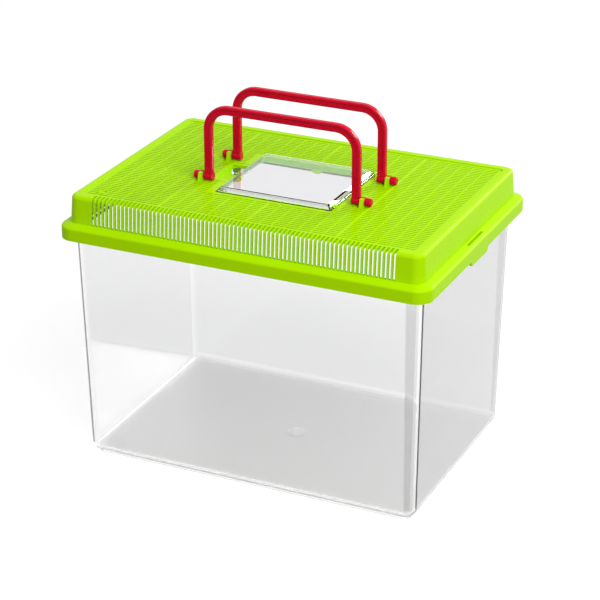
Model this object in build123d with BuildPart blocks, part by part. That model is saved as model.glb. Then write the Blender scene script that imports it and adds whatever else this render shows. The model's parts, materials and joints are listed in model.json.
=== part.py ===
# Plastic pet keeper: a clear drafted tank, a lift-off lid with vent slots, a clear feeding flap
# hinged in the lid, and two bail handles that snap into saddles on the lid.
# Millimetres. +Z is up, X runs along the long side and the front looks toward -Y.
# The origin is the middle of the foot ring's underside.
import os
from math import radians, tan

from build123d import *

os.makedirs("parts", exist_ok=True)

# ---------------------------------------------------------------- driving dimensions
# Lid, outside
rim_length = 300.0          # over the rim band, along X
rim_width = 210.0           # over the rim band, along Y
rim_corner = 12.8           # corner radius of the rim band
rim_drop = 5.3              # how far the band hangs below the seat on the tank
band_above_seat = 4.8       # height of the band above the seat
band_edge = 2.4             # rounding between band and shoulder
shoulder_rise = 2.2         # height of the sloped shoulder
shoulder_inset = 6.35       # how far the shoulder steps in
crown_corner = 9.4          # corner radius of the raised crown
crown_height = 21.4         # from the shoulder to the lid's top
crown_taper = 4.4           # degrees that the crown's walls lean in
crown_edge = 3.4            # rounding of the crown's top edge
lid_wall = 2.0

# Grille panel in the top of the lid
panel_length = 271.0
panel_width = 178.0
panel_corner = 4.0
panel_recess = 0.8
row_pitch = 3.33            # from one slot to the next, along Y
row_slot = 1.3              # width of a grille slot
row_count = 52
rib_pitch = 10.25           # from one cross rib to the next, along X
spine_rib = 7               # the cross rib that the inner slots end under
spine_width = 2.4           # solid strip under that rib and under the middle rib
grille_end_margin = 3.0     # plain strip between the outer slots and the panel's edge
grille_flap_margin = 3.4    # plain frame between the flap and the nearest slot
grille_recess_margin = 3.2  # plain frame between the finger recess and the nearest slot

# Vent slots in the two long walls of the crown
vent_pitch = 3.33
vent_slot = 2.1
vent_count = 74
vent_foot = 0.2             # height of the slots' feet above the shoulder
vent_return = 7.0           # how far each front slot runs in over the top
vent_back_height = 16.0     # the back slots stay in the wall, below the top edge

# Snap catches in the middle of the two short sides
catch_width = 35.0
catch_drop = 3.8            # how far a catch hangs below the rim band
catch_corner = 3.0
catch_hook = 24.0           # width of the hook inside a catch
catch_slot_length = 30.0    # opening in the shoulder above a hook
catch_slot_width = 1.8
catch_notch = 3.0           # depth of the notch in the tank's rim flange
catch_side_clearance = 2.0  # between a hook and the sides of its notch
catch_clearance = 0.3       # between a hook and the flange

# Tank
tank_height = 189.8         # from the table to the rim flange's top, where the lid sits
tank_base_length = 274.0    # outside, where the walls start
tank_base_width = 184.0
tank_corner = 9.2
tank_wall = 2.2
tank_floor = 2.4
floor_fillet = 6.0          # outside edge between wall and floor
floor_fillet_inside = 4.0
flange_width = 6.6
flange_thickness = 2.4
flange_clearance = 0.6      # between the flange and the inside of the rim band
foot_height = 2.4
foot_width = 2.2
foot_inset = 4.7            # from the base outline in to the foot ring
foot_corner = 6.0
gate_radius = 5.5           # moulding gate ring under the floor
gate_width = 1.2
gate_height = 0.5

# Feeding flap and its opening
flap_length = 96.2          # along X, at the flap's foot
flap_width = 86.0
flap_height = 3.5
flap_bevel = 4.2            # how far the flap's walls lean in
flap_corner = 3.0
flap_top_corner = 2.0
flap_wall = 1.5
flap_corner_inside = 1.0
flap_x = 1.4                # middle of the flap
flap_y = -1.5
flap_gap = 0.3              # between the flap's foot and the panel
skirt_gap = 0.5             # between the flap's skirt and the opening
skirt_wall = 1.3
skirt_drop = 3.3            # how far the skirt reaches down from the flap's foot
opening_margin = 3.6        # from the flap's foot in to the opening
opening_left_margin = 0.8   # the same on the side of the finger tab
opening_corner = 3.0
collar_depth = 2.8          # collar around the opening, below the lid's ceiling
collar_wall = 1.8
tongue_width = 9.2          # rounded tongues under the collar
tongue_drop = 2.9           # how far a tongue hangs below the collar
tab_radius = 6.0            # finger tab on the flap
tab_thickness = 1.8
tab_lift = 0.3              # tab above the flap's foot
recess_length = 32.0        # finger recess in the panel, along Y
recess_width = 12.2
recess_depth = 2.4
recess_ledge = 0.4          # between the recess and the flap's foot
recess_wall = 2.4
recess_floor = 1.4

# Hinge of the flap
barrel_radius = 1.3
barrel_lift = 1.6           # hinge axis above the panel
barrel_inset = 0.2          # hinge axis in from the flap's right foot
hinge_pin_radius = 1.0
hinge_running_gap = 0.05    # radial, pin in ear
ear_wall = 0.8
ear_width = 2.4
ear_inset = 6.5             # middle of an ear from the flap's end
ear_side_gap = 0.3
ear_swing_gap = 0.3         # between an ear and the flap around it

# Bail handles
handle_span = 128.3         # over both legs
handle_rise = 58.0          # from the pivot to the top
handle_bar = 6.7            # bar width in the plane of the bail
handle_thickness = 5.0
handle_corner = 20.0        # outside corner radius
handle_edge = 1.2
groove_width = 3.0
groove_depth = 0.9
groove_start = 8.5          # middle of the groove's round end, above the pivot
pivot_y = 24.2              # each pivot from the middle of the lid
pivot_lift = 3.6            # pivot above the panel
boss_radius = 3.2
boss_length = 0.8
neck_radius = 2.5
head_radius = 3.2
head_length = 4.9
head_edge = 1.2

# Saddles that the handles' necks snap into
saddle_thickness = 2.7
saddle_side_gap = 0.3
saddle_running_gap = 0.05   # radial, neck in saddle
saddle_top = 3.3            # top of a saddle above the pivot
saddle_mouth = 3.5          # slot above the neck, narrower than the neck so that it grips
saddle_crest = 9.0          # length along Y at the top
saddle_foot = 13.0          # length along Y on the panel

# ---------------------------------------------------------------- derived levels and outlines
seat_z = tank_height
band_bottom_z = seat_z - rim_drop
band_top_z = seat_z + band_above_seat
shoulder_z = band_top_z + shoulder_rise
top_z = shoulder_z + crown_height
panel_z = top_z - panel_recess
ceiling_z = panel_z - lid_wall
collar_foot_z = ceiling_z - collar_depth

crown_length = rim_length - 2 * shoulder_inset
crown_width = rim_width - 2 * shoulder_inset
crown_lean = crown_height * tan(radians(crown_taper))

flange_length = rim_length - 2 * lid_wall - 2 * flange_clearance
flange_depth = rim_width - 2 * lid_wall - 2 * flange_clearance
flange_corner = rim_corner - lid_wall - flange_clearance
tank_top_length = flange_length - 2 * flange_width
tank_top_width = flange_depth - 2 * flange_width
floor_z = foot_height + tank_floor

opening_length = flap_length - opening_margin - opening_left_margin
opening_width = flap_width - 2 * opening_margin
opening_x = flap_x + (opening_left_margin - opening_margin) / 2
flap_left = flap_x - flap_length / 2
flap_right = flap_x + flap_length / 2
flap_foot_z = panel_z + flap_gap
flap_top_z = flap_foot_z + flap_height

hinge_x = flap_right - barrel_inset
hinge_z = panel_z + barrel_lift
ear_radius = hinge_pin_radius + hinge_running_gap + ear_wall
ear_ys = [flap_y + side * (flap_width / 2 - ear_inset) for side in (-1, 1)]

pivot_z = panel_z + pivot_lift
leg_face = handle_span / 2
saddle_start = leg_face + boss_length + saddle_side_gap
head_start = saddle_start + saddle_thickness + saddle_side_gap


# ---------------------------------------------------------------- tank
with BuildPart() as tank_hollow:
    with BuildSketch(Plane.XY.offset(floor_z)):
        RectangleRounded(
            tank_base_length - 2 * tank_wall,
            tank_base_width - 2 * tank_wall,
            tank_corner - tank_wall,
        )
    with BuildSketch(Plane.XY.offset(tank_height)):
        RectangleRounded(
            tank_top_length - 2 * tank_wall,
            tank_top_width - 2 * tank_wall,
            tank_corner - tank_wall,
        )
    loft(ruled=True)
    fillet(tank_hollow.faces().sort_by(Axis.Z)[0].edges(), floor_fillet_inside)

with BuildPart() as tank:
    # outer shell, with a rounded edge between wall and floor
    with BuildSketch(Plane.XY.offset(foot_height)):
        RectangleRounded(tank_base_length, tank_base_width, tank_corner)
    with BuildSketch(Plane.XY.offset(tank_height)):
        RectangleRounded(tank_top_length, tank_top_width, tank_corner)
    loft(ruled=True)
    fillet(tank.faces().sort_by(Axis.Z)[0].edges(), floor_fillet)
    # rim flange that the lid sits on, notched for the lid's hooks
    with BuildSketch(Plane.XY.offset(tank_height - flange_thickness)):
        RectangleRounded(flange_length, flange_depth, flange_corner)
        with GridLocations(flange_length, 1, 2, 1):
            Rectangle(2 * catch_notch, catch_hook + 2 * catch_side_clearance, mode=Mode.SUBTRACT)
    extrude(amount=flange_thickness)
    # foot ring
    with BuildSketch():
        RectangleRounded(tank_base_length - 2 * foot_inset, tank_base_width - 2 * foot_inset, foot_corner)
        offset(amount=-foot_width, mode=Mode.SUBTRACT)
    extrude(amount=floor_z - tank_floor / 2)
    # gate ring in the middle of the underside
    with BuildSketch(Plane.XY.offset(foot_height - gate_height)):
        Circle(gate_radius)
        Circle(gate_radius - gate_width, mode=Mode.SUBTRACT)
    extrude(amount=gate_height + tank_floor / 2)
    add(tank_hollow.part, mode=Mode.SUBTRACT)
tank.part.label = "tank"
export_step(tank.part, "parts/tank.step")


# ---------------------------------------------------------------- lid
with BuildPart() as lid_hollow:
    with BuildSketch(Plane.XY.offset(seat_z)):
        RectangleRounded(crown_length - 2 * lid_wall, crown_width - 2 * lid_wall, crown_corner - lid_wall)
    extrude(amount=ceiling_z - seat_z, taper=crown_taper)

with BuildPart() as lid:
    # rim band and shoulder
    with BuildSketch(Plane.XY.offset(band_bottom_z)):
        RectangleRounded(rim_length, rim_width, rim_corner)
    extrude(amount=band_top_z - band_bottom_z)
    with BuildSketch(Plane.XY.offset(band_top_z)):
        RectangleRounded(rim_length, rim_width, rim_corner)
    with BuildSketch(Plane.XY.offset(shoulder_z)):
        RectangleRounded(crown_length, crown_width, crown_corner)
    loft(ruled=True)
    fillet(lid.edges().filter_by_position(Axis.Z, band_top_z, band_top_z), band_edge)
    # crown
    with BuildSketch(Plane.XY.offset(shoulder_z)):
        RectangleRounded(crown_length, crown_width, crown_corner)
    extrude(amount=crown_height, taper=crown_taper)
    fillet(lid.faces().sort_by(Axis.Z)[-1].edges(), crown_edge)
    # hollow of the band below the seat, and of the crown above it
    with BuildSketch(Plane.XY.offset(band_bottom_z)):
        RectangleRounded(rim_length - 2 * lid_wall, rim_width - 2 * lid_wall, rim_corner - lid_wall)
    extrude(amount=rim_drop, mode=Mode.SUBTRACT)
    add(lid_hollow.part, mode=Mode.SUBTRACT)
    # recessed grille panel
    with BuildSketch(Plane.XY.offset(panel_z)):
        RectangleRounded(panel_length, panel_width, panel_corner)
    extrude(amount=panel_recess, mode=Mode.SUBTRACT)

    # collar around the feeding opening, with a rounded tongue under each side
    with BuildSketch(Plane.XY.offset(collar_foot_z)):
        with Locations((opening_x, flap_y)):
            RectangleRounded(
                opening_length + 2 * collar_wall,
                opening_width + 2 * collar_wall,
                opening_corner + collar_wall,
            )
    extrude(amount=collar_depth)
    for side in (-1, 1):
        with BuildSketch(Plane.XZ.offset(-flap_y - side * (opening_width + collar_wall) / 2)):
            with Locations((opening_x, collar_foot_z)):
                Ellipse(tongue_width / 2, tongue_drop)
        extrude(amount=collar_wall / 2, both=True)
        with BuildSketch(Plane.YZ.offset(opening_x + side * (opening_length + collar_wall) / 2)):
            with Locations((flap_y, collar_foot_z)):
                Ellipse(tongue_width / 2, tongue_drop)
        extrude(amount=collar_wall / 2, both=True)

    # finger recess beside the opening, with its own floor
    recess_x = flap_left - recess_ledge - recess_width / 2
    recess_z = panel_z - recess_depth
    with BuildSketch(Plane.XY.offset(recess_z - recess_floor)):
        with Locations((recess_x, flap_y)):
            Rectangle(recess_width + 2 * recess_wall, recess_length + 2 * recess_wall)
    extrude(amount=ceiling_z - recess_z + recess_floor)
    with BuildSketch(Plane.XY.offset(recess_z)):
        with Locations((recess_x, flap_y)):
            Rectangle(recess_width, recess_length)
    extrude(amount=recess_depth, mode=Mode.SUBTRACT)

    # feeding opening
    with BuildSketch(Plane.XY.offset(collar_foot_z - tongue_drop)):
        with Locations((opening_x, flap_y)):
            RectangleRounded(opening_length, opening_width, opening_corner)
    extrude(amount=panel_z - collar_foot_z + tongue_drop, mode=Mode.SUBTRACT)

    # ears of the flap's hinge
    for ear_y in ear_ys:
        with BuildSketch(Plane.XZ.offset(-ear_y)):
            with Locations((hinge_x, hinge_z)):
                Circle(ear_radius)
            with Locations((hinge_x, hinge_z - (barrel_lift + panel_recess) / 2)):
                Rectangle(2 * ear_radius, barrel_lift + panel_recess)
            with Locations((hinge_x, hinge_z)):
                Circle(hinge_pin_radius + hinge_running_gap, mode=Mode.SUBTRACT)
        extrude(amount=ear_width / 2, both=True)

    # saddles: each holds a handle's neck in a bore, which the neck snaps into through the mouth
    for saddle_x in (-saddle_start - saddle_thickness / 2, saddle_start + saddle_thickness / 2):
        for saddle_y in (-pivot_y, pivot_y):
            with BuildSketch(Plane.YZ.offset(saddle_x)):
                with BuildLine():
                    Polyline(
                        (saddle_y - saddle_foot / 2, panel_z - panel_recess),
                        (saddle_y + saddle_foot / 2, panel_z - panel_recess),
                        (saddle_y + saddle_foot / 2, panel_z),
                        (saddle_y + saddle_crest / 2, pivot_z + saddle_top),
                        (saddle_y - saddle_crest / 2, pivot_z + saddle_top),
                        (saddle_y - saddle_foot / 2, panel_z),
                        close=True,
                    )
                make_face()
                with Locations((saddle_y, pivot_z)):
                    Circle(neck_radius + saddle_running_gap, mode=Mode.SUBTRACT)
                with Locations((saddle_y, pivot_z + saddle_top)):
                    Rectangle(saddle_mouth, 2 * saddle_top, mode=Mode.SUBTRACT)
            extrude(amount=saddle_thickness / 2, both=True)

    # snap catches: a hanging tab, and a hook that reaches under the flange
    inner_face_x = rim_length / 2 - lid_wall
    hook_x = flange_length / 2 - catch_notch + catch_clearance
    hook_top_z = seat_z - flange_thickness - catch_clearance
    hook_foot_z = band_bottom_z - catch_drop + catch_corner / 2
    for side in (-1, 1):
        with BuildSketch(Plane.YZ.offset(side * (inner_face_x + lid_wall / 2))):
            with Locations((0, band_bottom_z)):
                RectangleRounded(catch_width, 2 * catch_drop, catch_corner)
        extrude(amount=lid_wall / 2, both=True)
        with BuildSketch(Plane.XZ):
            with BuildLine():
                Polyline(
                    (side * (inner_face_x + lid_wall / 2), hook_top_z),
                    (side * hook_x, hook_top_z),
                    (side * hook_x, hook_top_z - catch_clearance),
                    (side * inner_face_x, hook_foot_z),
                    (side * (inner_face_x + lid_wall / 2), hook_foot_z),
                    close=True,
                )
            make_face()
        extrude(amount=catch_hook / 2, both=True)
        with BuildSketch(Plane.XY.offset(seat_z)):
            with Locations((side * (hook_x + catch_slot_width / 2), 0)):
                Rectangle(catch_slot_width, catch_slot_length)
        extrude(amount=crown_height, mode=Mode.SUBTRACT)

    # grille slots beside the flap stop short of it, and those in front and behind run on
    row_ys = [(row - (row_count - 1) / 2) * row_pitch for row in range(row_count)]
    spine_x = spine_rib * rib_pitch
    outer_start = spine_x + spine_width / 2
    outer_length = panel_length / 2 - grille_end_margin - outer_start
    beside_start = flap_right + grille_flap_margin
    beside_length = spine_x - spine_width / 2 - beside_start
    front_start = spine_width / 2
    front_length = spine_x - spine_width / 2 - front_start
    flap_clear = flap_width / 2 + grille_flap_margin
    recess_clear = recess_length / 2 + recess_wall + row_slot
    tab_side_start = flap_length / 2 - flap_x + recess_ledge + recess_width + grille_recess_margin
    tab_side_length = spine_x - spine_width / 2 - tab_side_start
    outer_spots = [(side * (outer_start + outer_length / 2), y) for side in (-1, 1) for y in row_ys]
    front_spots = [
        (side * (front_start + front_length / 2), y)
        for side in (-1, 1)
        for y in row_ys
        if abs(y - flap_y) > flap_clear
    ]
    beside_spots = [
        (side * (beside_start + beside_length / 2), y)
        for side in (-1, 1)
        for y in row_ys
        if abs(y - flap_y) < flap_clear and (side > 0 or abs(y - flap_y) > recess_clear)
    ]
    tab_side_spots = [
        (-tab_side_start - tab_side_length / 2, y)
        for y in row_ys
        if abs(y - flap_y) < recess_clear
    ]
    with BuildSketch(Plane.XY.offset(ceiling_z)):
        with Locations(*outer_spots):
            Rectangle(outer_length, row_slot)
        with Locations(*front_spots):
            Rectangle(front_length, row_slot)
        with Locations(*beside_spots):
            Rectangle(beside_length, row_slot)
        with Locations(*tab_side_spots):
            Rectangle(tab_side_length, row_slot)
    extrude(amount=lid_wall, mode=Mode.SUBTRACT)

    # vent slots: through both long walls, and in front a little way in over the top
    vent_length = crown_lean + vent_return
    with BuildSketch(Plane.XY.offset(shoulder_z + vent_foot)):
        with Locations((0, -(crown_width - vent_length) / 2)):
            with GridLocations(vent_pitch, 1, vent_count, 1):
                Rectangle(vent_slot, vent_length)
    extrude(amount=crown_height - vent_foot, mode=Mode.SUBTRACT)
    with BuildSketch(Plane.XY.offset(shoulder_z + vent_foot)):
        with Locations((0, (crown_width - vent_length) / 2)):
            with GridLocations(vent_pitch, 1, vent_count, 1):
                Rectangle(vent_slot, vent_length)
    extrude(amount=vent_back_height, mode=Mode.SUBTRACT)
lid.part.label = "lid"
export_step(lid.part, "parts/lid.step")


# ---------------------------------------------------------------- feeding flap
with BuildPart() as flap_block:
    # bevelled on all sides
    with BuildSketch(Plane.XY.offset(flap_foot_z)):
        with Locations((flap_x, flap_y)):
            RectangleRounded(flap_length, flap_width, flap_corner)
    with BuildSketch(Plane.XY.offset(flap_top_z)):
        with Locations((flap_x, flap_y)):
            RectangleRounded(flap_length - 2 * flap_bevel, flap_width - 2 * flap_bevel, flap_top_corner)
    loft(ruled=True)

with BuildPart() as flap_hollow:
    ceiling_bevel = flap_bevel * (flap_height - flap_wall) / flap_height
    with BuildSketch(Plane.XY.offset(flap_foot_z)):
        with Locations((flap_x, flap_y)):
            RectangleRounded(flap_length - 2 * flap_wall, flap_width - 2 * flap_wall, flap_corner_inside)
    with BuildSketch(Plane.XY.offset(flap_top_z - flap_wall)):
        with Locations((flap_x, flap_y)):
            RectangleRounded(
                flap_length - 2 * flap_wall - 2 * ceiling_bevel,
                flap_width - 2 * flap_wall - 2 * ceiling_bevel,
                flap_corner_inside,
            )
    loft(ruled=True)

with BuildPart() as skirt_room:
    # what the skirt may fill: the block and the opening below it
    add(flap_block.part)
    with BuildSketch(Plane.XY.offset(flap_foot_z - skirt_drop)):
        with Locations((opening_x, flap_y)):
            Rectangle(opening_length, opening_width)
    extrude(amount=skirt_drop)

with BuildPart() as skirt:
    # reaches down into the opening and keeps the flap in line
    with BuildSketch(Plane.XY.offset(flap_foot_z - skirt_drop)):
        with Locations((opening_x, flap_y)):
            RectangleRounded(
                opening_length - 2 * skirt_gap,
                opening_width - 2 * skirt_gap,
                opening_corner - skirt_gap,
            )
            RectangleRounded(
                opening_length - 2 * skirt_gap - 2 * skirt_wall,
                opening_width - 2 * skirt_gap - 2 * skirt_wall,
                opening_corner - skirt_gap - skirt_wall,
                mode=Mode.SUBTRACT,
            )
    extrude(amount=skirt_drop + flap_height)
    add(skirt_room.part, mode=Mode.INTERSECT)

with BuildPart() as flap:
    # shallow upside-down tray
    add(flap_block.part)
    # finger tab
    with BuildSketch(Plane.XY.offset(flap_foot_z + tab_lift)):
        with Locations((flap_left, flap_y)):
            Circle(tab_radius)
    extrude(amount=tab_thickness)
    add(flap_hollow.part, mode=Mode.SUBTRACT)
    add(skirt.part)
    # the right foot gives way to a hinge barrel, thinned to a pin at each ear
    with BuildSketch(Plane.XZ.offset(-flap_y)):
        with Locations((hinge_x + barrel_inset, hinge_z - barrel_lift / 2)):
            Rectangle(2 * barrel_inset, barrel_lift)
    extrude(amount=flap_width / 2, both=True, mode=Mode.SUBTRACT)
    with BuildSketch(Plane.XZ.offset(-flap_y)):
        with Locations((hinge_x, hinge_z)):
            Circle(barrel_radius)
    extrude(amount=flap_width / 2 - flap_corner, both=True)
    for ear_y in ear_ys:
        with BuildSketch(Plane.XZ.offset(-ear_y)):
            with Locations((hinge_x, hinge_z)):
                Circle(ear_radius + ear_swing_gap)
            with Locations((hinge_x, hinge_z - ear_radius / 2)):
                Rectangle(2 * (ear_radius + ear_swing_gap), ear_radius)
        extrude(amount=ear_width / 2 + ear_side_gap, both=True, mode=Mode.SUBTRACT)
        with BuildSketch(Plane.XZ.offset(-ear_y)):
            with Locations((hinge_x, hinge_z)):
                Circle(hinge_pin_radius)
        extrude(amount=ear_width / 2 + ear_side_gap, both=True)
flap.part.label = "feeding_flap"
export_step(flap.part, "parts/feeding_flap.step")


# ---------------------------------------------------------------- handles
def make_handle(line_y):
    """A bail standing upright on the pivot line at this Y."""
    leg_x = leg_face - handle_bar / 2
    bar_z = pivot_z + handle_rise - handle_bar / 2
    bend = handle_corner - handle_bar / 2
    with BuildPart() as bail:
        # legs and bar in one sweep round the bend
        with BuildSketch(Plane.XZ.offset(-line_y)):
            with BuildLine():
                FilletPolyline(
                    (-leg_x, pivot_z),
                    (-leg_x, bar_z),
                    (leg_x, bar_z),
                    (leg_x, pivot_z),
                    radius=bend,
                )
            trace(line_width=handle_bar)
        extrude(amount=handle_thickness / 2, both=True)
        faces_along_y = bail.faces().sort_by(Axis.Y)
        fillet(faces_along_y[0].edges() + faces_along_y[-1].edges(), handle_edge)
        # a groove in the front face and in the rear face
        for side in (-1, 1):
            with BuildSketch(Plane.XZ.offset(side * handle_thickness / 2 - line_y)):
                with BuildLine():
                    FilletPolyline(
                        (-leg_x, pivot_z + groove_start),
                        (-leg_x, bar_z),
                        (leg_x, bar_z),
                        (leg_x, pivot_z + groove_start),
                        radius=bend,
                    )
                trace(line_width=groove_width)
                with Locations((-leg_x, pivot_z + groove_start), (leg_x, pivot_z + groove_start)):
                    Circle(groove_width / 2)
            extrude(amount=-side * groove_depth, mode=Mode.SUBTRACT)
        # on each leg a round foot and boss, then the neck and the head
        for side in (-1, 1):
            with BuildSketch(Plane.YZ.offset(side * (leg_face - handle_bar))):
                with Locations((line_y, pivot_z)):
                    Circle(boss_radius)
            extrude(amount=side * (handle_bar + boss_length))
            with BuildSketch(Plane.YZ.offset(side * leg_face)):
                with Locations((line_y, pivot_z)):
                    Circle(neck_radius)
            extrude(amount=side * (head_start + head_length / 2 - leg_face))
            with BuildSketch(Plane.YZ.offset(side * head_start)):
                with Locations((line_y, pivot_z)):
                    Circle(head_radius)
            extrude(amount=side * head_length)
            end_face = bail.faces().sort_by(Axis.X)[-1 if side > 0 else 0]
            fillet(end_face.edges(), head_edge)
    return bail


front_handle = make_handle(-pivot_y)
front_handle.part.label = "front_handle"
export_step(front_handle.part, "parts/front_handle.step")

rear_handle = make_handle(pivot_y)
rear_handle.part.label = "rear_handle"
export_step(rear_handle.part, "parts/rear_handle.step")
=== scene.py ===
import json
import math

import bpy
from mathutils import Euler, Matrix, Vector

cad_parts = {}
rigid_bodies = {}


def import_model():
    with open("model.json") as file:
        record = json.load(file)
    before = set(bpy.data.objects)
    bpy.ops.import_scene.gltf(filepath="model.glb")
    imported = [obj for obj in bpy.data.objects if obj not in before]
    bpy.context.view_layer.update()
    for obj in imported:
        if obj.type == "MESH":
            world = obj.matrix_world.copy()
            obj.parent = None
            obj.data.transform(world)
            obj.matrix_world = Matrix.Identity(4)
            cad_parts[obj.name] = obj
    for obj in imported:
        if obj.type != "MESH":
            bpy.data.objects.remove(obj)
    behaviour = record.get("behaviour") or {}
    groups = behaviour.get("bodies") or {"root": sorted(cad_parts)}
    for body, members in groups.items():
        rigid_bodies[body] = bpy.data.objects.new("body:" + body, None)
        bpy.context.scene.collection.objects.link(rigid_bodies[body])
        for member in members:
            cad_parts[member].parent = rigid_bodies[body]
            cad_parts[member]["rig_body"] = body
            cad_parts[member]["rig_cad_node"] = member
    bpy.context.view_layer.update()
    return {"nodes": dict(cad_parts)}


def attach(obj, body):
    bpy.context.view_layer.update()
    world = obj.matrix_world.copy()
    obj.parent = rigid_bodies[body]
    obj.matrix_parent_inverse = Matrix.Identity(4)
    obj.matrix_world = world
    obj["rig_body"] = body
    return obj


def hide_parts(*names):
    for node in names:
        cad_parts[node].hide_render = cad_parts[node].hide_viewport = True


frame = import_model()
nodes = frame["nodes"]
print("frame loaded")


def deselectAll():
    if bpy.context.object and bpy.context.object.mode != "OBJECT":
        bpy.ops.object.mode_set(mode="OBJECT")
    bpy.ops.object.select_all(action="DESELECT")


def makeActive(piece):
    deselectAll()
    piece.select_set(True)
    bpy.context.view_layer.objects.active = piece


def applyModifier(piece, kind, **settings):
    makeActive(piece)
    modifier = piece.modifiers.new(kind.lower(), kind)
    for name, value in settings.items():
        setattr(modifier, name, value)
    bpy.ops.object.modifier_apply(modifier=modifier.name)


def setMaterial(piece, material):
    piece.data.materials.clear()
    piece.data.materials.append(material)
    for face in piece.data.polygons:
        face.material_index = 0


# a CAD node's triangles are loose, so its stand-in is merged, cleaned and shaded smooth
def mergedCopy(nodeName, pieceName, settings):
    node = nodes[nodeName]
    piece = node.copy()
    piece.data = node.data.copy()
    piece.name = pieceName
    piece.data.name = pieceName
    piece.parent = None
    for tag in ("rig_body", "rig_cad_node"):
        if tag in piece:
            del piece[tag]
    bpy.context.scene.collection.objects.link(piece)
    makeActive(piece)
    bpy.ops.object.mode_set(mode="EDIT")
    bpy.ops.mesh.select_all(action="SELECT")
    bpy.ops.mesh.remove_doubles(threshold=settings["mergeDistance"])
    bpy.ops.mesh.customdata_custom_splitnormals_clear()
    bpy.ops.mesh.dissolve_limited(angle_limit=math.radians(settings["flatAngle"]))
    bpy.ops.object.mode_set(mode="OBJECT")
    if settings["edgeRound"] > 0:
        applyModifier(
            piece, "BEVEL",
            width=settings["edgeRound"], segments=settings["edgeSteps"],
            limit_method="ANGLE", angle_limit=math.radians(settings["edgeAngle"]),
            use_clamp_overlap=True, harden_normals=False,
        )
    makeActive(piece)
    bpy.ops.object.shade_smooth_by_angle(angle=math.radians(settings["smoothAngle"]))
    applyModifier(piece, "WEIGHTED_NORMAL", keep_sharp=True, weight=settings["flatWeight"])
    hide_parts(nodeName)
    return piece


# a maths step: floats are set on it and sockets are linked to it
def addMath(tree, operation, *values):
    step = tree.nodes.new("ShaderNodeMath")
    step.operation = operation
    for socket, value in zip(step.inputs, values):
        if isinstance(value, float):
            socket.default_value = value
        else:
            tree.links.new(value, socket)
    return step.outputs["Value"]


def newGroup(name, inputs, outputs):
    group = bpy.data.node_groups.new(name, "ShaderNodeTree")
    for socketName, kind, value in inputs:
        socket = group.interface.new_socket(name=socketName, in_out="INPUT", socket_type=kind)
        socket.default_value = value
    for socketName, kind in outputs:
        group.interface.new_socket(name=socketName, in_out="OUTPUT", socket_type=kind)
    entry = group.nodes.new("NodeGroupInput")
    result = group.nodes.new("NodeGroupOutput")
    return group, entry, result


# moulded plastic: slow colour drift along the flow of the melt, a fine skin and faint scuffs
skinNoise = {
    "flowDetail": 3.0, "flowDistortion": 0.6,
    "skinDetail": 2.0,
    "scuffDetail": 5.0, "scuffRoughness": 0.7, "scuffMiddle": 0.5,
}


def makeMouldedSkin(settings):
    group, entry, result = newGroup(
        "mouldedSkin",
        [
            ("Colour", "NodeSocketColor", (0.5, 0.5, 0.5, 1.0)),
            ("Deep Colour", "NodeSocketColor", (0.4, 0.4, 0.4, 1.0)),
            ("Flow Scale", "NodeSocketFloat", 14.0),
            ("Skin Scale", "NodeSocketFloat", 900.0),
            ("Roughness", "NodeSocketFloat", 0.3),
            ("Roughness Spread", "NodeSocketFloat", 0.08),
            ("Scuff Scale", "NodeSocketFloat", 60.0),
        ],
        [
            ("Colour", "NodeSocketColor"),
            ("Roughness", "NodeSocketFloat"),
            ("Height", "NodeSocketFloat"),
        ],
    )
    make = group.nodes.new
    join = group.links.new
    place = make("ShaderNodeTexCoord")
    flow = make("ShaderNodeTexNoise")
    flow.inputs["Detail"].default_value = settings["flowDetail"]
    flow.inputs["Distortion"].default_value = settings["flowDistortion"]
    join(place.outputs["Object"], flow.inputs["Vector"])
    join(entry.outputs["Flow Scale"], flow.inputs["Scale"])
    drift = make("ShaderNodeMix")
    drift.data_type = "RGBA"
    join(flow.outputs["Fac"], drift.inputs["Factor"])
    join(entry.outputs["Colour"], drift.inputs["A"])
    join(entry.outputs["Deep Colour"], drift.inputs["B"])
    join(drift.outputs["Result"], result.inputs["Colour"])
    skin = make("ShaderNodeTexNoise")
    skin.inputs["Detail"].default_value = settings["skinDetail"]
    join(place.outputs["Object"], skin.inputs["Vector"])
    join(entry.outputs["Skin Scale"], skin.inputs["Scale"])
    scuff = make("ShaderNodeTexNoise")
    scuff.inputs["Detail"].default_value = settings["scuffDetail"]
    scuff.inputs["Roughness"].default_value = settings["scuffRoughness"]
    join(place.outputs["Object"], scuff.inputs["Vector"])
    join(entry.outputs["Scuff Scale"], scuff.inputs["Scale"])
    centred = addMath(group, "SUBTRACT", scuff.outputs["Fac"], settings["scuffMiddle"])
    spread = addMath(
        group, "MULTIPLY_ADD",
        centred, entry.outputs["Roughness Spread"], entry.outputs["Roughness"],
    )
    join(spread, result.inputs["Roughness"])
    join(skin.outputs["Fac"], result.inputs["Height"])
    return group


mouldedSkin = makeMouldedSkin(skinNoise)


def newMaterial(name):
    material = bpy.data.materials.new(name)
    material.use_nodes = True
    tree = material.node_tree
    return material, tree, tree.nodes["Principled BSDF"]


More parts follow.
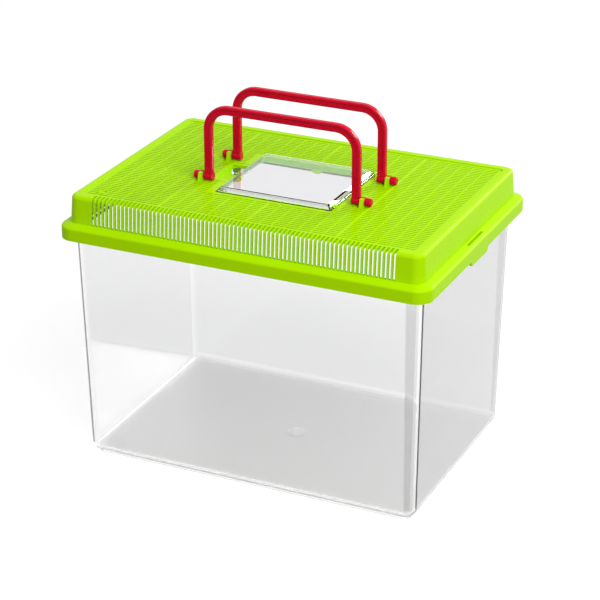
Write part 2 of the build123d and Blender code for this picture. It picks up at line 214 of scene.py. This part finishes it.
def addSkin(tree, shader, settings):
    skin = tree.nodes.new("ShaderNodeGroup")
    skin.node_tree = mouldedSkin
    skin.inputs["Colour"].default_value = (*settings["colour"], 1.0)
    skin.inputs["Deep Colour"].default_value = (*settings["deepColour"], 1.0)
    skin.inputs["Flow Scale"].default_value = settings["flowScale"]
    skin.inputs["Skin Scale"].default_value = settings["skinScale"]
    skin.inputs["Roughness"].default_value = settings["roughness"]
    skin.inputs["Roughness Spread"].default_value = settings["roughnessSpread"]
    skin.inputs["Scuff Scale"].default_value = settings["scuffScale"]
    bump = tree.nodes.new("ShaderNodeBump")
    bump.inputs["Strength"].default_value = settings["bump"]
    bump.inputs["Distance"].default_value = settings["bumpDepth"]
    tree.links.new(skin.outputs["Height"], bump.inputs["Height"])
    tree.links.new(skin.outputs["Roughness"], shader.inputs["Roughness"])
    tree.links.new(skin.outputs["Colour"], shader.inputs["Base Color"])
    tree.links.new(bump.outputs["Normal"], shader.inputs["Normal"])


def makePlastic(name, settings):
    material, tree, shader = newMaterial(name)
    addSkin(tree, shader, settings)
    shader.inputs["IOR"].default_value = settings["ior"]
    shader.inputs["Specular IOR Level"].default_value = settings["shine"]
    return material


# clear plastic: the sight line is longer in a wall seen edge on, so it darkens a little there;
# the strong dark outline there is painted shade
def makeClearPlastic(name, settings):
    material, tree, shader = newMaterial(name)
    addSkin(tree, shader, settings)
    shader.inputs["IOR"].default_value = settings["ior"]
    shader.inputs["Transmission Weight"].default_value = 1.0
    # most light passes straight through it, so its shadow is thin
    shadowRay = tree.nodes.new("ShaderNodeLightPath").outputs["Is Shadow Ray"]
    solid = addMath(tree, "MULTIPLY_ADD", shadowRay, -settings["shadowPass"], 1.0)
    tree.links.new(solid, shader.inputs["Alpha"])
    # painted shade: a dark outline where the surface is seen edge on
    rim = addRimMask(tree, settings["rimStart"], settings["rimEnd"])
    tintWhere(tree, shader, rim, settings["rimShadeColour"])
    return material, tree, shader


def addRimMask(tree, start, end):
    facing = tree.nodes.new("ShaderNodeLayerWeight")
    rim = tree.nodes.new("ShaderNodeMapRange")
    rim.interpolation_type = "SMOOTHSTEP"
    rim.inputs["From Min"].default_value = start
    rim.inputs["From Max"].default_value = end
    tree.links.new(facing.outputs["Facing"], rim.inputs["Value"])
    return rim.outputs["Result"]


def addPlace(tree):
    place = tree.nodes.new("ShaderNodeTexCoord")
    split = tree.nodes.new("ShaderNodeSeparateXYZ")
    tree.links.new(place.outputs["Object"], split.inputs["Vector"])
    return split.outputs


def tintWhere(tree, shader, mask, colour):
    before = shader.inputs["Base Color"].links[0].from_socket
    tint = tree.nodes.new("ShaderNodeMix")
    tint.data_type = "RGBA"
    tint.inputs["B"].default_value = (*colour, 1.0)
    tree.links.new(mask, tint.inputs["Factor"])
    tree.links.new(before, tint.inputs["A"])
    tree.links.new(tint.outputs["Result"], shader.inputs["Base Color"])


# fitted to the edges of the lid and the tank in the photo
camera = {
    "place": (0.65528, -1.40689, 0.81838),
    "aim": (-0.12048, 0.26776, -0.01318),
    "roll": -0.094,             # degrees
    "focal": 131.47,            # mm
    "frameWidth": 36.0,         # mm
    "reach": 50.0,
}


def makeCamera(settings):
    data = bpy.data.cameras.new("camera")
    data.sensor_width = settings["frameWidth"]
    data.lens = settings["focal"]
    data.clip_end = settings["reach"]
    piece = bpy.data.objects.new("camera", data)
    bpy.context.scene.collection.objects.link(piece)
    place = Vector(settings["place"])
    aim = Vector(settings["aim"]) - place
    turn = aim.to_track_quat("-Z", "Y")
    roll = Euler((0.0, 0.0, math.radians(settings["roll"]))).to_quaternion()
    piece.location = place
    piece.rotation_euler = (turn @ roll).to_euler()
    bpy.context.scene.camera = piece


makeCamera(camera)
print("camera placed")


tankLook = {
    "mergeDistance": 1e-6, "flatAngle": 0.3,
    "edgeRound": 0.0003, "edgeSteps": 2, "edgeAngle": 40.0,
    "smoothAngle": 32.0, "flatWeight": 60,
    "colour": (0.905, 0.905, 0.907), "deepColour": (0.895, 0.896, 0.899),
    "flowScale": 6.0, "skinScale": 40.0, "scuffScale": 30.0,
    "roughness": 0.02, "roughnessSpread": 0.02,
    "bump": 0.04, "bumpDepth": 0.0002, "ior": 1.49, "shadowPass": 0.75,
    "rimStart": 0.74, "rimEnd": 1.0, "rimShadeColour": (0.20, 0.21, 0.23),
    # the right wall is tinted darker: painted shade on that side
    "rightWall": 0.1300, "rightWallShade": (0.70, 0.70, 0.702),
    # below the rim flange, the four corners are painted lighter at the ends, a painted
    # highlight, and dark at the outline, a painted shade
    "cornerTop": 0.1840,
    "cornerX": 0.12775, "cornerY": 0.08275, "wallLean": 0.0203,
    "cornerEnd": 0.0062, "cornerOuter": 0.0082, "cornerHighlightColour": (0.99, 0.99, 0.99),
    "cornerRimStart": 0.45, "cornerRimEnd": 0.60, "cornerRimShadeColour": (0.04, 0.04, 0.05),
    # a lighter ring is painted where the walls curve into the floor, a painted highlight, with
    # a grey line along the floor's edge, a painted shade
    "curveTop": 0.0090, "curveHighlightColour": (0.96, 0.96, 0.96),
    "lineTop": 0.0052, "lineShadeColour": (0.74, 0.74, 0.745),
    # the floor is satin and is tinted darker, a painted shade, apart from a clear ring round
    # the gate
    "satinTop": 0.00484, "satinFoot": 0.0023, "satinRoughness": 0.36,
    "satinShadeColour": (0.80, 0.80, 0.80), "gateClear": 0.0078,
}


def addSquares(tree, first, second):
    firstSquare = addMath(tree, "POWER", first, 2.0)
    secondSquare = addMath(tree, "POWER", second, 2.0)
    return addMath(tree, "ADD", firstSquare, secondSquare)


# how far a place lies past the middle of the nearest corner's rounding, along X and along Y
def addCornerReach(tree, settings):
    place = addPlace(tree)
    lean = addMath(tree, "MULTIPLY", place["Z"], settings["wallLean"])
    alongX = addMath(tree, "SUBTRACT", addMath(tree, "ABSOLUTE", place["X"]), lean)
    alongY = addMath(tree, "SUBTRACT", addMath(tree, "ABSOLUTE", place["Y"]), lean)
    pastX = addMath(tree, "SUBTRACT", alongX, settings["cornerX"])
    pastY = addMath(tree, "SUBTRACT", alongY, settings["cornerY"])
    return addMath(tree, "MAXIMUM", pastX, 0.0), addMath(tree, "MAXIMUM", pastY, 0.0)


def tintCorners(tree, shader, settings):
    # painted highlight at the corner ends and painted shade at the corners' outline
    reachX, reachY = addCornerReach(tree, settings)
    below = addMath(tree, "LESS_THAN", addPlace(tree)["Z"], settings["cornerTop"])
    inside = addMath(tree, "GREATER_THAN", addMath(tree, "MINIMUM", reachX, reachY), 0.0)
    both = addMath(tree, "MULTIPLY", inside, below)
    end = addMath(tree, "GREATER_THAN", reachX, settings["cornerEnd"])
    tintWhere(tree, shader, addMath(tree, "MULTIPLY", both, end), settings["cornerHighlightColour"])
    outer = addMath(
        tree, "GREATER_THAN", addSquares(tree, reachX, reachY), settings["cornerOuter"] ** 2
    )
    rim = addRimMask(tree, settings["cornerRimStart"], settings["cornerRimEnd"])
    outerRim = addMath(tree, "MULTIPLY", addMath(tree, "MULTIPLY", both, outer), rim)
    tintWhere(tree, shader, outerRim, settings["cornerRimShadeColour"])


def addSatinMask(tree, settings):
    place = addPlace(tree)
    below = addMath(tree, "LESS_THAN", place["Z"], settings["satinTop"])
    above = addMath(tree, "GREATER_THAN", place["Z"], settings["satinFoot"])
    sideX = addMath(tree, "ABSOLUTE", place["X"])
    sideY = addMath(tree, "ABSOLUTE", place["Y"])
    outside = addMath(
        tree, "GREATER_THAN", addSquares(tree, sideX, sideY), settings["gateClear"] ** 2
    )
    return addMath(tree, "MULTIPLY", addMath(tree, "MULTIPLY", below, above), outside)


def makeTankPlastic(settings):
    material, tree, shader = makeClearPlastic("clearTankPlastic", settings)
    place = addPlace(tree)
    # painted shade: the right wall is tinted darker
    rightShadeMask = addMath(tree, "GREATER_THAN", place["X"], settings["rightWall"])
    tintWhere(tree, shader, rightShadeMask, settings["rightWallShade"])
    tintCorners(tree, shader, settings)
    above = addMath(tree, "GREATER_THAN", place["Z"], settings["satinFoot"])
    # painted highlight in the ring where the walls curve into the floor, painted shade in the
    # grey line along its edge
    for top, colour in (("curveTop", "curveHighlightColour"), ("lineTop", "lineShadeColour")):
        below = addMath(tree, "LESS_THAN", place["Z"], settings[top])
        tintWhere(tree, shader, addMath(tree, "MULTIPLY", below, above), settings[colour])
    # painted shade: the satin floor is tinted darker
    satin = addSatinMask(tree, settings)
    tintWhere(tree, shader, satin, settings["satinShadeColour"])
    before = shader.inputs["Roughness"].links[0].from_socket
    roughness = tree.nodes.new("ShaderNodeMix")
    roughness.inputs["B"].default_value = settings["satinRoughness"]
    tree.links.new(satin, roughness.inputs["Factor"])
    tree.links.new(before, roughness.inputs["A"])
    tree.links.new(roughness.outputs["Result"], shader.inputs["Roughness"])
    return material


tank = mergedCopy("tank", "tankShell", tankLook)
setMaterial(tank, makeTankPlastic(tankLook))
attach(tank, "tank")
print("tank done")


lidLook = {
    "mergeDistance": 1e-6, "flatAngle": 0.3,
    "edgeRound": 0.0002, "edgeSteps": 2, "edgeAngle": 40.0,
    "smoothAngle": 32.0, "flatWeight": 60,
    "colour": (0.385, 0.70, 0.0), "deepColour": (0.355, 0.665, 0.0),
    "flowScale": 9.0, "skinScale": 1400.0, "scuffScale": 70.0,
    "roughness": 0.27, "roughnessSpread": 0.10,
    "bump": 0.10, "bumpDepth": 0.0001, "ior": 1.5, "shine": 0.03,
}

greenPlastic = makePlastic("greenLidPlastic", lidLook)
lid = mergedCopy("lid", "lidShell", lidLook)
setMaterial(lid, greenPlastic)
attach(lid, "lid")
print("lid done")


# cross ribs over the lid's grille
grilleRibs = {
    "pitch": 0.01025,
    "width": 0.0008,
    "rise": 0.00025,            # above the panel
    "drop": 0.0006,             # down between the slots
    "panelZ": 0.2174,
    "panelHalf": 0.0888,        # half the panel's width, along Y
    "flapFront": -0.0479,       # ribs near the middle stop short of the flap
    "flapBack": 0.0449,
    "flapRibs": 5,              # ribs on each side of the middle that the flap cuts
    "lastRib": 12,
    "bevel": 0.00015, "bevelSteps": 2, "smoothAngle": 40.0,
}


def makeRib(name, x, front, back, settings):
    deselectAll()
    height = settings["rise"] + settings["drop"]
    middleZ = settings["panelZ"] + (settings["rise"] - settings["drop"]) / 2
    bpy.ops.mesh.primitive_cube_add(size=1.0, location=(x, (front + back) / 2, middleZ))
    rib = bpy.context.object
    rib.name = name
    rib.scale = (settings["width"], back - front, height)
    bpy.ops.object.transform_apply(location=True, rotation=True, scale=True)
    applyModifier(
        rib, "BEVEL",
        width=settings["bevel"], segments=settings["bevelSteps"], limit_method="ANGLE",
    )
    return rib


def makeGrilleRibs(settings):
    ribs = []
    half = settings["panelHalf"]
    for step in range(-settings["lastRib"], settings["lastRib"] + 1):
        x = step * settings["pitch"]
        if abs(step) <= settings["flapRibs"]:
            spans = [(-half, settings["flapFront"]), (settings["flapBack"], half)]
        else:
            spans = [(-half, half)]
        for front, back in spans:
            ribs.append(makeRib("grilleRib", x, front, back, settings))
    deselectAll()
    for rib in ribs:
        rib.select_set(True)
    bpy.context.view_layer.objects.active = ribs[0]
    bpy.ops.object.join()
    joined = bpy.context.object
    joined.name = "grilleRibs"
    bpy.ops.object.transform_apply(location=True, rotation=True, scale=True)
    bpy.ops.object.shade_smooth_by_angle(angle=math.radians(settings["smoothAngle"]))
    return joined


ribs = makeGrilleRibs(grilleRibs)
setMaterial(ribs, greenPlastic)
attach(ribs, "lid")
print("grille ribs done")


# a bead round the finger recess, and a gate mark
lidMarks = {
    "panelZ": 0.2174,
    "frameX": (-0.0599, -0.0478), "frameY": (-0.0216, 0.0186),
    "frameWidth": 0.0009, "frameRise": 0.00035, "frameSink": 0.0006,
    "bevel": 0.00018, "bevelSteps": 2, "smoothAngle": 40.0,
    "gateX": -0.1219, "gateY": -0.0801, "gateRadius": 0.0034, "gateThickness": 0.0005,
    "gateSteps": 32, "gateTubeSteps": 8,
}


# a low bead round the finger recess, open towards the flap
def makeRecessBead(settings):
    left, right = settings["frameX"]
    front, back = settings["frameY"]
    width = settings["frameWidth"]
    height = settings["frameRise"] + settings["frameSink"]
    middleZ = settings["panelZ"] + (settings["frameRise"] - settings["frameSink"]) / 2
    bars = [
        ((left, (front + back) / 2), (width, back - front + width)),
        (((left + right) / 2, front), (right - left, width)),
        (((left + right) / 2, back), (right - left, width)),
    ]
    pieces = []
    for (x, y), (sizeX, sizeY) in bars:
        deselectAll()
        bpy.ops.mesh.primitive_cube_add(size=1.0, location=(x, y, middleZ))
        bar = bpy.context.object
        bar.scale = (sizeX, sizeY, height)
        bpy.ops.object.transform_apply(location=True, rotation=True, scale=True)
        pieces.append(bar)
    for bar in pieces[1:]:
        applyModifier(pieces[0], "BOOLEAN", operation="UNION", object=bar, solver="EXACT")
    for bar in pieces[1:]:
        makeActive(bar)
        bpy.ops.object.delete()
    bead = pieces[0]
    bead.name = "recessBead"
    applyModifier(
        bead, "BEVEL",
        width=settings["bevel"], segments=settings["bevelSteps"], limit_method="ANGLE",
    )
    makeActive(bead)
    bpy.ops.object.shade_smooth_by_angle(angle=math.radians(settings["smoothAngle"]))
    return bead


def makeGateMark(settings):
    deselectAll()
    bpy.ops.mesh.primitive_torus_add(
        major_radius=settings["gateRadius"], minor_radius=settings["gateThickness"],
        major_segments=settings["gateSteps"], minor_segments=settings["gateTubeSteps"],
        location=(settings["gateX"], settings["gateY"], settings["panelZ"]),
    )
    mark = bpy.context.object
    mark.name = "lidGateMark"
    bpy.ops.object.transform_apply(location=True, rotation=True, scale=True)
    bpy.ops.object.shade_smooth()
    return mark


for mark in (makeRecessBead(lidMarks), makeGateMark(lidMarks)):
    setMaterial(mark, greenPlastic)
    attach(mark, "lid")
print("lid marks done")


flapLook = {
    "mergeDistance": 1e-6, "flatAngle": 0.3,
    "edgeRound": 0.0003, "edgeSteps": 2, "edgeAngle": 40.0,
    "smoothAngle": 32.0, "flatWeight": 60,
    "colour": (0.85, 0.85, 0.868), "deepColour": (0.84, 0.841, 0.858),
    "flowScale": 16.0, "skinScale": 60.0, "scuffScale": 60.0,
    "roughness": 0.02, "roughnessSpread": 0.02,
    "bump": 0.04, "bumpDepth": 0.0002, "ior": 1.49, "shine": 0.15, "shadowPass": 0.85,
    "rimStart": 0.70, "rimEnd": 0.97, "rimShadeColour": (0.20, 0.21, 0.24),
    # the skirt is painted clearer than the tray, a painted light; its left side is painted
    # grey, a painted shade; its back is painted as green as the lit lid behind it, a painted
    # light; the tab is tinted blue
    "skirtTop": 0.2178, "skirtLightColour": (0.97, 0.97, 0.97),
    "leftEdge": -0.0380, "leftShadeColour": (0.42, 0.47, 0.53),
    "backEdge": 0.0325, "backLitGreen": (0.62, 0.95, 0.10),
    "tabEdge": -0.0470, "tabColour": (0.22, 0.40, 0.75),
}


def makeFlapPlastic(settings):
    material, tree, shader = makeClearPlastic("clearFlapPlastic", settings)
    shader.inputs["Specular IOR Level"].default_value = settings["shine"]
    place = addPlace(tree)
    # painted light: the skirt is tinted clearer
    skirt = addMath(tree, "LESS_THAN", place["Z"], settings["skirtTop"])
    tintWhere(tree, shader, skirt, settings["skirtLightColour"])
    # painted shade: the skirt's left side is tinted grey
    leftSide = addMath(tree, "LESS_THAN", place["X"], settings["leftEdge"])
    tintWhere(tree, shader, addMath(tree, "MULTIPLY", leftSide, skirt), settings["leftShadeColour"])
    # painted light: the skirt's back is tinted the green of the lit lid behind it
    backSide = addMath(tree, "GREATER_THAN", place["Y"], settings["backEdge"])
    tintWhere(tree, shader, addMath(tree, "MULTIPLY", backSide, skirt), settings["backLitGreen"])
    tab = addMath(tree, "LESS_THAN", place["X"], settings["tabEdge"])
    tintWhere(tree, shader, tab, settings["tabColour"])
    return material


flap = mergedCopy("feeding_flap", "feedingFlapTray", flapLook)
setMaterial(flap, makeFlapPlastic(flapLook))
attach(flap, "feeding_flap")
print("feeding flap done")


handleLook = {
    "mergeDistance": 1e-6, "flatAngle": 0.3,
    "edgeRound": 0.0002, "edgeSteps": 2, "edgeAngle": 40.0,
    "smoothAngle": 32.0, "flatWeight": 60,
    "colour": (0.60, 0.001, 0.022), "deepColour": (0.52, 0.001, 0.018),
    "flowScale": 18.0, "skinScale": 1200.0, "scuffScale": 90.0,
    "roughness": 0.24, "roughnessSpread": 0.10,
    "bump": 0.08, "bumpDepth": 0.0001, "ior": 1.5, "shine": 0.10,
}

redPlastic = makePlastic("redHandlePlastic", handleLook)
handlePieces = {"front_handle": "frontHandleBail", "rear_handle": "rearHandleBail"}
for nodeName, pieceName in handlePieces.items():
    handle = mergedCopy(nodeName, pieceName, handleLook)
    setMaterial(handle, redPlastic)
    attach(handle, nodeName)
print("handles done")


studio = {
    "floorSize": 16.0,
    "floorColour": (0.30, 0.30, 0.30), "floorRoughness": 0.9,
    "floorGlow": 0.71,          # only what the camera, gloss and glass see
    "worldLight": 0.56,
    "worldSeen": 1.0,
    "lamps": {
        "keyLamp": {
            "place": (1.27, -0.95, 1.78), "aim": (0, 0, 0.15),
            "size": 1.3, "power": 43.0,
        },
        "edgeLamp": {
            "place": (1.00, 2.15, 1.15), "aim": (0, 0, 0.20),
            "size": 0.7, "power": 34.0,
        },
    },
}


# 1 for camera, glossy and transmission rays
def seenByEye(tree):
    path = tree.nodes.new("ShaderNodeLightPath").outputs
    direct = addMath(tree, "MAXIMUM", path["Is Camera Ray"], path["Is Glossy Ray"])
    return addMath(tree, "MAXIMUM", direct, path["Is Transmission Ray"])


def makeFloor(settings):
    deselectAll()
    bpy.ops.mesh.primitive_plane_add(size=settings["floorSize"], location=(0, 0, 0))
    floor = bpy.context.object
    floor.name = "floor"
    material, tree, shader = newMaterial("paleFloor")
    shader.inputs["Base Color"].default_value = (*settings["floorColour"], 1.0)
    shader.inputs["Roughness"].default_value = settings["floorRoughness"]
    shader.inputs["Specular IOR Level"].default_value = 0.0
    glow = addMath(tree, "MULTIPLY", seenByEye(tree), settings["floorGlow"])
    shader.inputs["Emission Color"].default_value = (1.0, 1.0, 1.0, 1.0)
    tree.links.new(glow, shader.inputs["Emission Strength"])
    setMaterial(floor, material)


def makeWorld(settings):
    world = bpy.data.worlds.new("studio")
    bpy.context.scene.world = world
    world.use_nodes = True
    tree = world.node_tree
    background = tree.nodes["Background"]
    background.inputs["Color"].default_value = (1.0, 1.0, 1.0, 1.0)
    level = tree.nodes.new("ShaderNodeMapRange")
    level.inputs["To Min"].default_value = settings["worldLight"]
    level.inputs["To Max"].default_value = settings["worldSeen"]
    tree.links.new(seenByEye(tree), level.inputs["Value"])
    tree.links.new(level.outputs["Result"], background.inputs["Strength"])


def makeLamp(name, settings):
    data = bpy.data.lights.new(name, "AREA")
    data.shape = "SQUARE"
    data.size = settings["size"]
    data.energy = settings["power"]
    lamp = bpy.data.objects.new(name, data)
    bpy.context.scene.collection.objects.link(lamp)
    lamp.location = settings["place"]
    aim = Vector(settings["aim"]) - Vector(settings["place"])
    lamp.rotation_euler = aim.to_track_quat("-Z", "Y").to_euler()


makeFloor(studio)
makeWorld(studio)
for lampName, lampSettings in studio["lamps"].items():
    makeLamp(lampName, lampSettings)
print("studio done")

bpy.context.scene.view_settings.view_transform = "Standard"
